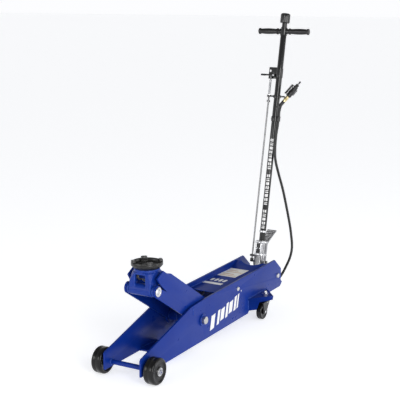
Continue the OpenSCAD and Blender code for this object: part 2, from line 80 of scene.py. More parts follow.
Z_AXIS = Vector((0, 0, 1))
JOINTS = {j["name"]: j for j in frame["joints"]}
rng = random.Random(5)


# ------------------------------------------------------------ places taken from the frame

def joint_at(name):
    return Vector(JOINTS[name]["pos_m"])


AXLE = joint_at("left_wheel_roll")
AXLE_Y = AXLE.y
ARM_PIVOT = joint_at("arm_lift")
SADDLE_PIN = joint_at("mount_level")
LEVER_PIN = joint_at("lever_roller_spin")
SADDLE_AT = joint_at("saddle_swivel")
HANDLE_DIR = Vector(JOINTS["spindle_turn"]["axis"]).normalized()
HANDLE_BACK = X_AXIS.cross(HANDLE_DIR).normalized() * -1
HANDLE_FOOT = joint_at("spindle_turn")
HANDLE_TURN = Matrix((X_AXIS, HANDLE_BACK, HANDLE_DIR)).transposed()
ARM_DIR = (ARM_PIVOT - SADDLE_PIN).normalized()
ARM_UP = ARM_DIR.cross(X_AXIS).normalized() * -1


def chassis(x, y, z):
    """Point in millimetres, with y counted from the front axle."""
    return Vector((x * MM, AXLE_Y + y * MM, z * MM))


def on_handle(x, back, up):
    """Point in millimetres: across, behind the handle's axis, along it from the yoke."""
    return HANDLE_FOOT + X_AXIS * x * MM + HANDLE_BACK * back * MM + HANDLE_DIR * up * MM


def on_arm(x, along, above):
    """Point in millimetres: across, along the arm from the saddle pin, above its centre line."""
    return SADDLE_PIN + X_AXIS * x * MM + ARM_DIR * along * MM + ARM_UP * above * MM


# ------------------------------------------------------------ camera and lights

CAMERA_AT = chassis(2101.7, -3062.4, 1471.8)
CAMERA_TURN = math.radians(30.155)
CAMERA_DOWN = math.radians(11.593)
LENS = 90.2
STUDIO_WHITE = (0.98, 0.985, 1.0, 1)


def make_camera():
    data = bpy.data.cameras.new("camera")
    data.lens = LENS
    data.sensor_width = 36.0
    data.clip_end = 200.0
    camera = bpy.data.objects.new("camera", data)
    camera.location = CAMERA_AT
    camera.rotation_euler = (math.pi / 2 - CAMERA_DOWN, 0.0, CAMERA_TURN)
    bpy.context.scene.collection.objects.link(camera)
    bpy.context.scene.camera = camera


def area_light(name, at, target, size, power):
    data = bpy.data.lights.new(name, "AREA")
    data.shape = "RECTANGLE"
    data.size, data.size_y = size
    data.energy = power
    light = bpy.data.objects.new(name, data)
    light.location = at
    light.rotation_euler = (Vector(target) - Vector(at)).to_track_quat("-Z", "Y").to_euler()
    bpy.context.scene.collection.objects.link(light)


def make_studio():
    world = bpy.data.worlds.new("studio")
    world.use_nodes = True
    sky = world.node_tree
    place = sky.nodes.new("ShaderNodeTexCoord")
    split = sky.nodes.new("ShaderNodeSeparateXYZ")
    fade = sky.nodes.new("ShaderNodeMapRange")
    fade.interpolation_type = "SMOOTHSTEP"
    for socket, value in (("From Min", 0.1), ("From Max", 0.75), ("To Min", 1.0),
                          ("To Max", 0.26)):
        fade.inputs[socket].default_value = value
    sky.links.new(place.outputs["Generated"], split.inputs["Vector"])
    sky.links.new(split.outputs["Z"], fade.inputs["Value"])
    sky.links.new(fade.outputs["Result"], sky.nodes["Background"].inputs["Strength"])
    sky.nodes["Background"].inputs["Color"].default_value = STUDIO_WHITE
    bpy.context.scene.view_settings.view_transform = "Standard"
    bpy.context.scene.world = world
    area_light("key", (3.6, -3.0, 1.9), (0, -0.1, 0.3), (1.5, 3.2), 100)
    area_light("side", (3.9, 1.2, 1.1), (0, 0.1, 0.3), (1.2, 2.0), 24)
    area_light("front", (-1.8, -3.8, 1.5), (0, -0.2, 0.3), (1.6, 1.4), 22)
    mesh = bpy.data.meshes.new("floor")
    r = 60.0
    mesh.from_pydata([(-r, -r, 0), (r, -r, 0), (r, r, 0), (-r, r, 0)], [], [(0, 1, 2, 3)])
    floor = bpy.data.objects.new("floor", mesh)
    floor.location.z = -0.0006
    bpy.context.scene.collection.objects.link(floor)
    material = bpy.data.materials.new("floor")
    material.use_nodes = True
    shader = material.node_tree.nodes["Principled BSDF"]
    shader.inputs["Base Color"].default_value = (0.78, 0.79, 0.8, 1)
    shader.inputs["Roughness"].default_value = 0.8
    shader.inputs["Specular IOR Level"].default_value = 0.1
    shader.inputs["Emission Color"].default_value = STUDIO_WHITE
    shader.inputs["Emission Strength"].default_value = 0.62
    mesh.materials.append(material)


# ------------------------------------------------------------ materials

def node_input(shader, name, value):
    shader.inputs[name].default_value = value


def surface(name, base, accent, rough, metallic=0.0, coat=0.0, scale=30.0, bump=0.1,
            grain=400.0, edge_highlight_and_wear=None, dirt=0.35, specular=0.5):
    """Painted, plated or moulded surface: two-tone base, uneven gloss, fine grain and, where an edge
    colour is given, edges tinted to it along the mesh's edge attribute: a lighter tone of the finish
    is a painted highlight along the edges, a darker one is rubbed edge dirt."""
    material = bpy.data.materials.new(name)
    material.use_nodes = True
    tree = material.node_tree
    nodes, links = tree.nodes, tree.links
    shader = nodes["Principled BSDF"]
    node_input(shader, "Metallic", metallic)
    node_input(shader, "Specular IOR Level", specular)
    node_input(shader, "Coat Weight", coat)
    node_input(shader, "Coat Roughness", 0.08)
    place = nodes.new("ShaderNodeTexCoord")

    def noise(size, detail, rough_step=0.55):
        texture = nodes.new("ShaderNodeTexNoise")
        texture.inputs["Scale"].default_value = size
        texture.inputs["Detail"].default_value = detail
        texture.inputs["Roughness"].default_value = rough_step
        links.new(place.outputs["Object"], texture.inputs["Vector"])
        return texture.outputs["Fac"]

    def ramp(source, low, high, a, b):
        node = nodes.new("ShaderNodeMapRange")
        node.inputs["From Min"].default_value = low
        node.inputs["From Max"].default_value = high
        node.inputs["To Min"].default_value = a
        node.inputs["To Max"].default_value = b
        links.new(source, node.inputs["Value"])
        return node.outputs["Result"]

    def mix(factor, a, b):
        node = nodes.new("ShaderNodeMix")
        node.data_type = "RGBA"
        if isinstance(factor, float):
            node.inputs["Factor"].default_value = factor
        else:
            links.new(factor, node.inputs["Factor"])
        for socket, value in ((node.inputs["A"], a), (node.inputs["B"], b)):
            if isinstance(value, tuple):
                socket.default_value = (*value, 1)
            else:
                links.new(value, socket)
        return node.outputs["Result"]

    patches = noise(scale, 4.0)
    color = mix(ramp(patches, 0.35, 0.7, 0.0, 1.0), base, accent)
    dust = noise(scale * 0.22, 6.0, 0.65)
    dusty = tuple(0.7 * c + 0.3 * g for c, g in zip(accent, (0.11, 0.1, 0.085)))
    color = mix(ramp(dust, 0.52, 0.8, 0.0, dirt), color, dusty)
    gloss = ramp(noise(scale * 1.7, 5.0), 0.3, 0.75, rough[0], rough[1])
    # Edge tint: a lighter edge colour paints a highlight along convex edges; a darker one is edge
    # dirt.
    if edge_highlight_and_wear is not None:
        edge = nodes.new("ShaderNodeAttribute")
        edge.attribute_name = "edge"
        breakup = ramp(noise(scale * 4.0, 6.0, 0.7), 0.42, 0.62, 0.15, 1.0)
        edge_highlight_and_wear_mask = nodes.new("ShaderNodeMath")
        edge_highlight_and_wear_mask.operation = "MULTIPLY"
        links.new(edge.outputs["Fac"], edge_highlight_and_wear_mask.inputs[0])
        links.new(breakup, edge_highlight_and_wear_mask.inputs[1])
        color = mix(edge_highlight_and_wear_mask.outputs["Value"], color, edge_highlight_and_wear)
    links.new(color, shader.inputs["Base Color"])
    links.new(gloss, shader.inputs["Roughness"])
    fine = nodes.new("ShaderNodeBump")
    fine.inputs["Strength"].default_value = bump
    fine.inputs["Distance"].default_value = 0.0006
    links.new(noise(grain, 3.0), fine.inputs["Height"])
    links.new(fine.outputs["Normal"], shader.inputs["Normal"])
    return material


# Lighter edge colours below paint a highlight along convex edges; those of the label and the white
# print are darker edge dirt.
BLUE = surface("royal_blue_paint", (0.003, 0.025, 0.225), (0.004, 0.029, 0.245),
               (0.27, 0.33), coat=0.0, scale=9, bump=0.05, grain=520,
               edge_highlight_and_wear=(0.035, 0.095, 0.42), dirt=0.04, specular=0.14)
BLUE_CAST = surface("blue_cast_paint", (0.004, 0.028, 0.235), (0.006, 0.035, 0.265),
                    (0.3, 0.4), coat=0.0, scale=34, bump=0.3, grain=260,
                    edge_highlight_and_wear=(0.04, 0.105, 0.44), dirt=0.05, specular=0.22)
BLACK_PAINT = surface("gloss_black_paint", (0.004, 0.004, 0.0045), (0.006, 0.006, 0.0065),
                      (0.06, 0.11), coat=0.2, scale=22, bump=0.02,
                      edge_highlight_and_wear=(0.03, 0.03, 0.031), dirt=0.03, specular=0.42)
GRIP = surface("gloss_grip", (0.005, 0.005, 0.0055), (0.008, 0.008, 0.0085), (0.2, 0.3),
               coat=0.15, scale=48, bump=0.12, grain=700, edge_highlight_and_wear=(0.02, 0.02, 0.02), dirt=0.04,
               specular=0.4)
BLACK_CAST = surface("black_cast_paint", (0.006, 0.006, 0.0065), (0.012, 0.012, 0.012),
                     (0.26, 0.38), coat=0.05, scale=60, bump=0.35, grain=300,
                     edge_highlight_and_wear=(0.045, 0.044, 0.042), dirt=0.08, specular=0.4)
WHEEL = surface("black_wheel", (0.004, 0.004, 0.0045), (0.007, 0.007, 0.0075), (0.13, 0.22),
                coat=0.0, scale=26, bump=0.06, edge_highlight_and_wear=(0.012, 0.012, 0.013), dirt=0.03,
                specular=0.3)
RUBBER = surface("black_rubber", (0.006, 0.006, 0.006), (0.011, 0.011, 0.011), (0.38, 0.52),
                 scale=70, bump=0.3, grain=900, edge_highlight_and_wear=(0.022, 0.022, 0.022), dirt=0.12)
ZINC = surface("zinc_plate", (0.56, 0.57, 0.59), (0.7, 0.7, 0.71), (0.18, 0.36), metallic=1.0,
               scale=45, bump=0.12, edge_highlight_and_wear=(0.8, 0.8, 0.81), dirt=0.1)
DULL_ZINC = surface("dull_zinc", (0.3, 0.3, 0.31), (0.42, 0.42, 0.43), (0.32, 0.5),
                    metallic=1.0, scale=60, bump=0.35, edge_highlight_and_wear=(0.6, 0.6, 0.6), dirt=0.3)
PEDAL = surface("pedal_casting", (0.24, 0.24, 0.25), (0.34, 0.34, 0.35), (0.3, 0.5),
                metallic=0.8, scale=70, bump=0.4, edge_highlight_and_wear=(0.6, 0.6, 0.6), dirt=0.3)
STEEL = surface("machined_steel", (0.5, 0.49, 0.47), (0.6, 0.585, 0.56), (0.24, 0.42),
                metallic=1.0, scale=40, bump=0.2, grain=700,
                edge_highlight_and_wear=(0.75, 0.74, 0.72), dirt=0.15)
CHROME = surface("hard_chrome", (0.72, 0.73, 0.75), (0.78, 0.78, 0.8), (0.06, 0.14),
                 metallic=1.0, scale=20, bump=0.03, edge_highlight_and_wear=(0.85, 0.85, 0.86), dirt=0.06)
BRASS = surface("brass", (0.62, 0.5, 0.24), (0.72, 0.6, 0.34), (0.2, 0.36), metallic=1.0,
                scale=80, bump=0.15, edge_highlight_and_wear=(0.86, 0.76, 0.5), dirt=0.15)
GREY_PAINT = surface("grey_paint", (0.12, 0.12, 0.125), (0.16, 0.16, 0.165), (0.35, 0.5),
                     scale=30, bump=0.3, edge_highlight_and_wear=(0.3, 0.3, 0.3), dirt=0.3)
ROD_GREY = surface("grey_rod", (0.2, 0.2, 0.205), (0.27, 0.27, 0.275), (0.3, 0.44),
                   metallic=0.7, scale=30, bump=0.15, edge_highlight_and_wear=(0.45, 0.45, 0.45), dirt=0.2)
WHITE_PRINT = surface("white_print", (0.78, 0.78, 0.77), (0.84, 0.84, 0.83), (0.35, 0.5),
                      scale=60, bump=0.1, edge_highlight_and_wear=(0.6, 0.6, 0.6), dirt=0.12)
LABEL = surface("label_paper", (0.93, 0.91, 0.85), (0.96, 0.95, 0.9), (0.4, 0.55), scale=50,
                bump=0.12, edge_highlight_and_wear=(0.65, 0.6, 0.5), dirt=0.2)
LABEL_BAND = surface("label_band", (0.7, 0.45, 0.24), (0.76, 0.52, 0.3), (0.4, 0.55),
                     scale=50, bump=0.1, dirt=0.2)
SLOT = {BLUE: "blue_paint", BLUE_CAST: "blue_paint", BLACK_PAINT: "black_paint", ZINC: "zinc",
        STEEL: "bare_steel", CHROME: "chrome", BRASS: "brass", DULL_ZINC: "zinc",
        GREY_PAINT: "grey_paint", ROD_GREY: "grey_paint"}


# ------------------------------------------------------------ mesh tools

def mark_edges(mesh, radius=0.003):
    """Writes the edge attribute on faces: 1 where the surface bends outward within radius."""
    bm = bmesh.new()
    bm.from_mesh(mesh)
    values = [0.0] * len(bm.faces)
    for edge in bm.edges:
        if len(edge.link_faces) != 2:
            continue
        angle = edge.calc_face_angle_signed(0.0)
        length = edge.calc_length()
        if angle <= 0.02 or length < 1e-7:
            continue
        for face in edge.link_faces:
            width = max(face.calc_area() / length, 1e-5)
            values[face.index] = max(values[face.index],
                                     min(1.0, angle / width * radius * 0.6 - 0.15))
    bm.free()
    layer = mesh.attributes.get("edge") or mesh.attributes.new("edge", "FLOAT", "FACE")
    layer.data.foreach_set("value", values)


def add_object(name, mesh, material, sharp=38.0):
    mesh.materials.clear()
    mesh.materials.append(material)
    mesh.polygons.foreach_set("use_smooth", [True] * len(mesh.polygons))
    mesh.set_sharp_from_angle(angle=math.radians(sharp))
    mark_edges(mesh)
    piece = bpy.data.objects.new(name, mesh)
    bpy.context.scene.collection.objects.link(piece)
    return piece


def from_bmesh(name, bm, material, sharp=38.0):
    bmesh.ops.recalc_face_normals(bm, faces=bm.faces)
    mesh = bpy.data.meshes.new(name)
    bm.to_mesh(mesh)
    bm.free()
    return add_object(name, mesh, material, sharp)


def round_edges(bm, width, segments=2, angle=28.0):
    """Rounds every edge sharper than angle."""
    limit = math.radians(angle)
    edges = [e for e in bm.edges if len(e.link_faces) == 2 and e.calc_face_angle(0.0) > limit]
    bmesh.ops.bevel(bm, geom=edges, offset=width, offset_type="OFFSET", segments=segments,
                    profile=0.6, affect="EDGES", clamp_overlap=True)


def cleaned(node):
    """The CAD node's mesh with its doubled corners joined and its flat faces made whole."""
    bm = bmesh.new()
    bm.from_mesh(frame["nodes"][node].data)
    bmesh.ops.remove_doubles(bm, verts=bm.verts, dist=3e-6)
    bmesh.ops.dissolve_limit(bm, angle_limit=math.radians(0.8), verts=bm.verts,
                             edges=bm.edges)
    return bm


def attach(piece, body, slot, *nodes):
    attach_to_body(piece, body)
    if nodes:
        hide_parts(*nodes)
    return piece


def body_of(node):
    return frame["nodes"][node]["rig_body"]


def finished(node, material, width=0.9, segments=2, slot=None):
    """A piece in the CAD node's shape with rounded edges, standing for that node."""
    bm = cleaned(node)
    round_edges(bm, width * MM, segments)
    piece = from_bmesh(node + ".body", bm, material)
    return attach(piece, body_of(node), slot or SLOT[material], node)


def cast(node, material, slot, voxel=1.6, steps=6):
    """A casting in the CAD node's shape: edges and inner corners blend into fillets."""
    mesh = frame["nodes"][node].data.copy()
    piece = bpy.data.objects.new(node + ".body", mesh)
    bpy.context.scene.collection.objects.link(piece)
    remesh = piece.modifiers.new("remesh", "REMESH")
    remesh.mode = "VOXEL"
    remesh.voxel_size = voxel * MM
    smooth = piece.modifiers.new("smooth", "SMOOTH")
    smooth.factor = 0.5
    smooth.iterations = steps
    bpy.context.view_layer.update()
    shaped = bpy.data.meshes.new_from_object(
        piece.evaluated_get(bpy.context.evaluated_depsgraph_get()))
    bpy.data.objects.remove(piece)
    piece = add_object(node + ".body", shaped, material, 80.0)
    return attach(piece, body_of(node), slot, node)


def turn_to(axis):
    """Rotation that takes +Z to axis."""
    return Vector(axis).normalized().to_track_quat("Z", "Y").to_matrix().to_4x4()


def lathe(name, profile, origin, axis, material, count=72, closed=False, sharp=38.0):
    """Turns (radius, height) points in millimetres round an axis through origin."""
    bm = bmesh.new()
    rows = []
    for radius, height in profile:
        if radius < 1e-6:
            rows.append([bm.verts.new((0, 0, height * MM))])
            continue
        rows.append([bm.verts.new((radius * MM * math.cos(2 * math.pi * i / count),
                                   radius * MM * math.sin(2 * math.pi * i / count),
                                   height * MM)) for i in range(count)])
    pairs = list(zip(rows, rows[1:]))
    if closed:
        pairs.append((rows[-1], rows[0]))
    for low, high in pairs:
        for i in range(count):
            k = (i + 1) % count
            corners = [low[i % len(low)], low[k % len(low)], high[k % len(high)],
                       high[i % len(high)]]
            unique = list(dict.fromkeys(corners))
            if len(unique) > 2:
                bm.faces.new(unique)
    if not closed:
        for row in (rows[0], rows[-1]):
            if len(row) > 1:
                bm.faces.new(row)
    bmesh.ops.transform(bm, matrix=Matrix.Translation(origin) @ turn_to(axis), verts=bm.verts)
    return from_bmesh(name, bm, material, sharp)


def sweep(bm, points, radius, sides=10, caps=True):
    """Tube of radius (metres, one value or one per point) along points."""
    count = len(points)
    radii = radius if isinstance(radius, list) else [radius] * count
    side = None
    rings = []
    for i, point in enumerate(points):
        along = (points[min(i + 1, count - 1)] - points[max(i - 1, 0)]).normalized()
        if side is None:
            side = along.orthogonal().normalized()
        side = (side - along * side.dot(along)).normalized()
        other = along.cross(side)
        rings.append([bm.verts.new(point + radii[i] * (math.cos(a) * side + math.sin(a) * other))
                      for a in (2 * math.pi * k / sides for k in range(sides))])
    for low, high in zip(rings, rings[1:]):
        for k in range(sides):
            bm.faces.new((low[k], low[(k + 1) % sides], high[(k + 1) % sides], high[k]))
    if caps:
        bm.faces.new(rings[0])
        bm.faces.new(rings[-1])


def skin(bm, rows):
    """Faces between closed rows of corners, with both ends capped."""
    for low, high in zip(rows, rows[1:]):
        for i in range(len(low)):
            k = (i + 1) % len(low)
            bm.faces.new((low[i], low[k], high[k], high[i]))
    bm.faces.new(rows[0])
    bm.faces.new(rows[-1])


def side_name(side):
    return "left" if side > 0 else "right"


def smooth_line(points, steps):
    """Catmull-Rom curve through points."""
    out = []
    last = len(points) - 1
    for i in range(last):
        a, b, c, d = (points[max(0, min(last, k))] for k in (i - 1, i, i + 1, i + 2))
        for s in range(steps):
            t = s / steps
            out.append(0.5 * (2 * b + (c - a) * t + (2 * a - 5 * b + 4 * c - d) * t ** 2
                              + (3 * b - a - 3 * c + d) * t ** 3))
    out.append(points[last])
    return out


def add_block(bm, center, half, turn=None):
    """Box in metres, turned by a 3x3 matrix."""
    made = bmesh.ops.create_cube(bm, size=2.0)["verts"]
    place = Matrix.Translation(center) @ (turn.to_4x4() if turn else Matrix.Identity(4))
    place = place @ Matrix.Diagonal((*half, 1))
    bmesh.ops.transform(bm, matrix=place, verts=made)
    return made


def add_cylinder(bm, radius, low, high, count, top=None):
    """Round or many-sided bar along +Z, sizes in millimetres, narrowing to top if given."""
    made = bmesh.ops.create_cone(bm, segments=count, radius1=radius * MM,
                                 radius2=(radius if top is None else top) * MM,
                                 depth=(high - low) * MM, cap_ends=True)
    bmesh.ops.translate(bm, verts=made["verts"], vec=(0, 0, (low + high) / 2 * MM))


def weld(name, runs, radius, body, material=None):
    """Weld beads along runs of points: a rippled round bead a few millimetres wide."""
    bm = bmesh.new()
    for run in runs:
        length = sum((b - a).length for a, b in zip(run, run[1:]))
        line = smooth_line(run, max(3, int(length / (len(run) - 1) / 0.0016)))
        radii = [radius * MM * (0.86 + 0.14 * abs(math.sin(i * 0.9)) + rng.uniform(-0.03, 0.03))
                 for i in range(len(line))]
        radii[0] = radii[-1] = radius * MM * 0.35
        sweep(bm, line, radii, 8)
    piece = from_bmesh(name, bm, material or BLUE_CAST, 80.0)
    return attach(piece, body, "blue_paint")


def circle_run(center, axis, radius, count=24, start=0.0, turn=2 * math.pi):
    """Points in metres round an axis."""
    matrix = Matrix.Translation(center) @ turn_to(axis)
    return [matrix @ Vector((radius * MM * math.cos(start + turn * i / count),
                             radius * MM * math.sin(start + turn * i / count), 0))
            for i in range(count + 1)]


def hex_bolt(name, at, axis, radius, height, body, slot="zinc", material=None, washer=True,
             domed=True):
    """Hexagon head on a washer, its foot at the point at (metres), sizes in millimetres."""
    bm = bmesh.new()
    base = 0.0
    if washer:
        base = 1.6
        add_cylinder(bm, radius * 1.32, 0, base, 40)
    top = base + height
    add_cylinder(bm, radius, base, top, 6)
    if domed:
        add_cylinder(bm, radius * 0.55, top - 0.1, top + 1.5, 24, radius * 0.4)
    round_edges(bm, 0.45 * MM, 2, 25.0)
    bmesh.ops.transform(bm, matrix=Matrix.Translation(at) @ turn_to(axis), verts=bm.verts)
    piece = from_bmesh(name, bm, material or ZINC, 30.0)
    return attach(piece, body, slot)


def prism(name, outlines, place, depth, body, slot, material, round_by=0.0):
    """Flat pieces: outlines of (u, v) millimetres put in space by place(u, v, w) and made
    depth millimetres thick along w."""
    bm = bmesh.new()
    for outline in outlines:
        low = [bm.verts.new(place(u, v, 0.0)) for u, v in outline]
        high = [bm.verts.new(place(u, v, depth)) for u, v in outline]
        bm.faces.new(low)
        bm.faces.new(high)
        count = len(outline)
        for i in range(count):
            k = (i + 1) % count
            bm.faces.new((low[i], low[k], high[k], high[i]))
    if round_by:
        bmesh.ops.recalc_face_normals(bm, faces=bm.faces)
        round_edges(bm, round_by * MM, 2)
    piece = from_bmesh(name, bm, material)
    return attach(piece, body, slot)


def rounded_box(u0, v0, u1, v1, r=2.0, steps=4):
    """Outline of a rectangle with rounded corners."""
    out = []
    for cu, cv, start in ((u1 - r, v1 - r, 0), (u0 + r, v1 - r, 90), (u0 + r, v0 + r, 180),
                          (u1 - r, v0 + r, 270)):
        for i in range(steps + 1):
            a = math.radians(start + 90 * i / steps)
            out.append((cu + r * math.cos(a), cv + r * math.sin(a)))
    return out


def coil(bm, start, end, radius, wire, turns, sides=7, per_turn=14, ends=True):
    """Helical spring between two points; radius is that of the wire's centre line."""
    axis = (end - start)
    length = axis.length
    axis.normalize()
    side = axis.orthogonal().normalized()
    other = axis.cross(side)
    steps = int(turns * per_turn)
    line = []
    for i in range(steps + 1):
        t = i / steps
        rise = t
        if ends:
            rise = min(1.0, max(0.0, (t * turns - 0.9) / (turns - 1.8)))
        a = 2 * math.pi * turns * t
        flat = wire if ends else 0.0
        line.append(start + axis * (flat + (length - 2 * flat) * rise)
                    + radius * (math.cos(a) * side + math.sin(a) * other))
    sweep(bm, line, wire, sides)


# ------------------------------------------------------------ air hose

HOSE_ROUTE = [(55, 1184, 94), (55, 1202, 96), (57, 1232, 109), (60, 1266, 130),
              (60, 1302, 153), (60, 1340, 183), (60, 1362, 217), (60, 1365, 252),
              (60, 1355, 295), (60, 1336, 355), (54, 1311, 440), (45, 1281, 540),
              (35, 1249, 626), (27, 1231, 690), (24, 1230, 740), (24, 1238, 806),
              (25.5, 1250, 852), (26, 1256.3, 876.2), (26.2, 1261, 898), (29, 1260, 925),
              (37, 1260.5, 953), (46.2, 1268.3, 970.3)]
HOSE_RADIUS = 6.2


def valve_frame():
    """Origin and axes of the air inlet valve: across its lever, along its hinge, along it."""
    turn = Matrix.Rotation(math.radians(47.4), 3, "Z") @ Matrix.Rotation(
        math.radians(42.7), 3, "Y")
    return chassis(46.4, 1268.5, 970.6), turn


VALVE_ORIGIN, VALVE_TURN = valve_frame()


def on_valve(x, y, z):
    return VALVE_ORIGIN + VALVE_TURN @ Vector((x * MM, y * MM, z * MM))


def valve_axis(x, y, z):
    return VALVE_TURN @ Vector((x, y, z))


def make_hose():
    line = smooth_line([chassis(*p) for p in HOSE_ROUTE], 12)
    bm = bmesh.new()
    sweep(bm, line, HOSE_RADIUS * MM, 20)
    hose = from_bmesh("air_hose.body", bm, RUBBER, 60.0)
    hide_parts("air_hose")
    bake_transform(hose)
    length = sum((b - a).length for a, b in zip(line, line[1:]))
    return hose, line, length


def crimps(start, count):
    """Profile points of crimp rings 5 mm apart on a ferrule."""
    ring = ((8.2, 0), (8.7, 1), (8.2, 2))
    return [(radius, start + 5 * i + z) for i in range(count) for radius, z in ring]


def make_valve():
    """Ferrule, hose fitting, valve body with its ears and guard, nipple, lever and hinge."""
    z = valve_axis(0, 0, 1)
    ferrule = lathe("hose_ferrule.body", [
        (6.3, -30), (8.3, -29.5), (8.6, -28), (8.2, -26.5), *crimps(-24, 4), (8.4, -2),
        (8.4, 0.6), (6.3, 0.6)],
        VALVE_ORIGIN, z, BLACK_CAST, 40, closed=True)
    attach(ferrule, "handle", "black_cast")
    bm = bmesh.new()
    for low, high, radius, count in ((0, 12, 8, 40), (10, 24, 9.5, 6), (22, 32, 7, 40),
                                     (24.6, 26.2, 8.6, 40), (28.4, 30, 8.6, 40)):
        add_cylinder(bm, radius, low, high, count)
    round_edges(bm, 0.5 * MM, 2, 25)
    bmesh.ops.transform(bm, matrix=Matrix.Translation(VALVE_ORIGIN) @ VALVE_TURN.to_4x4(),
                        verts=bm.verts)
    fitting = from_bmesh("hose_fitting.body", bm, BRASS, 30)
    attach(fitting, "handle", "brass", "hose_fitting")
    body = lathe("air_valve.body", [
        (0, 32.2), (9, 32.2), (11, 33), (12.6, 34.5), (13.2, 38), (13.2, 44), (12.2, 45.2),
        (12.2, 47), (13.2, 48.2), (13.2, 68), (12, 70.2), (11.8, 72), (11.8, 74.2),
        (11.8, 88), (11.4, 91.5), (10, 93.6), (8.5, 94.5), (8.5, 96.5), (7.9, 97.2),
        (8.5, 98), (8.5, 100), (7.9, 100.7), (8.5, 101.4), (8.5, 104.4), (7.4, 106),
        (4, 106.4), (4, 112.4), (3.3, 113.4), (3.3, 115.4), (4, 116.4), (4, 124.4),
        (3.2, 126), (0, 126)],
        VALVE_ORIGIN, z, BLACK_CAST, 48)
    attach(body, "handle", "grey_paint", "air_valve")
    bm = bmesh.new()
    for x0, x1, y0, y1, z0, z1 in ((-18, -8, -5, 5, 79, 90), (6, 17, -6.5, 6.5, 52, 84)):
        add_block(bm, on_valve((x0 + x1) / 2, (y0 + y1) / 2, (z0 + z1) / 2),
                  Vector(((x1 - x0) / 2, (y1 - y0) / 2, (z1 - z0) / 2)) * MM, VALVE_TURN)
    round_edges(bm, 1.2 * MM, 3)
    attach(from_bmesh("valve_ears.body", bm, GREY_PAINT), "handle", "grey_paint")
    nipple = lathe("air_nipple.body", [
        (4.25, 106.6), (6.4, 106.6), (6.4, 109.6), (5, 110.4), (4.6, 112.2), (4.25, 112.4)],
        VALVE_ORIGIN, z, ZINC, 6, closed=True)
    attach(nipple, "handle", "zinc")
    lever = finished("valve_lever", BLACK_PAINT, 1.4, 3)
    pin = lathe("valve_hinge.body", [(0, -9.8), (2.6, -9.8), (3, -9.2), (3, 9.2), (2.6, 9.8),
                                     (0, 9.8)],
                on_valve(-15, 0, 82), valve_axis(0, 1, 0), ZINC, 24)
    attach(pin, "valve_lever", "zinc")
    return [ferrule, fitting, body, nipple, lever, pin]


def make_cords():
    hose, line, length = make_hose()
    [o.name for o in make_valve()]
    nut = lathe("gland_crimp.body", [
        (6.3, -2), (8.4, -1.6), (8.7, -0.4), (8.2, 1), *crimps(4, 2), (8.2, 14),
        (7.8, 15), (6.3, 15)],
        chassis(55, 1184, 94.2), (chassis(55, 1202, 96) - chassis(55, 1184, 94)), BRASS, 40,
        closed=True)
    attach(nut, "frame", "brass")


# ------------------------------------------------------------ chassis

# Outer and inner faces of the side plates, and the top of the cover, in millimetres.
PLATE_OUT = 88
PLATE_IN = 80
COVER_TOP = 200


def wheel_profile(r, w, bore, hub, corner):
    """Half of a wheel's section mirrored: bore, hub, recessed face with rings, rounded tread."""
    h = w / 2
    web = h - 4.4 * w / 46
    rim = r - corner - 3
    half = [(bore, h - 0.8), (bore + 0.8, h), (hub - 1.2, h), (hub, h - 1.2),
            (hub + 1.6, web + 0.9), (hub + 3.2, web), ((hub + rim) / 2, web - 0.4),
            (rim - 5, web), (rim - 2.6, web + 1.0), (rim - 1.0, h - 1.0), (rim + 0.6, h)]
    for i in range(9):
        a = math.radians(90 * i / 8)
        half.append((r - corner + corner * math.sin(a), h - corner + corner * math.cos(a)))
    half += [(r, 0.9), (r - 0.25, 0.4)]
    return half + [(x, -y) for x, y in reversed(half)]


def make_wheels():
    for side, name in ((1, "left"), (-1, "right")):
        at = joint_at(name + "_wheel_roll")
        node = name + "_front_wheel"
        wheel = lathe(node + ".body", wheel_profile(54, 46, 10.06, 19, 9), at, X_AXIS * side,
                      WHEEL, 96, closed=True, sharp=50)
        attach(wheel, body_of(node), "black_wheel", node)
        seal = lathe(node + "_seal.body", [
            (10.3, 19.4), (15.6, 19.4), (16.4, 20), (16.4, 23.1), (15.8, 23.3), (10.3, 23.3)],
            at, X_AXIS * side, DULL_ZINC, 64, closed=True)
        attach(seal, body_of(node), "zinc")
        at = joint_at(name + "_caster_roll")
        node = name + "_caster_wheel"
        wheel = lathe(node + ".body", wheel_profile(37.5, 24, 6.06, 9, 5), at, X_AXIS * side,
                      WHEEL, 80, closed=True, sharp=50)
        attach(wheel, body_of(node), "black_wheel", node)
        node = name + "_caster_fork"
        finished(node, BLACK_PAINT, 1.1, 3)
        swivel = joint_at(name + "_caster_swivel")
        raceway = lathe(node + "_raceway.body", [
            (9.6, 0.2), (18, 0.2), (20.5, 1), (21.6, 2.6), (20.8, 4.1), (9.6, 4.1)],
            Vector((swivel.x, swivel.y, 0.0779)) - Z_AXIS * 0.0042, Z_AXIS, DULL_ZINC, 56,
            closed=True)
        attach(raceway, body_of(node), "zinc")
        for end in (-1, 1):
            hex_bolt(node + ("_nut_out" if end > 0 else "_nut_in"),
                     at + X_AXIS * side * end * 17.1 * MM, X_AXIS * side * end, 6.6, 3.2,
                     body_of(node), washer=False, material=ZINC)


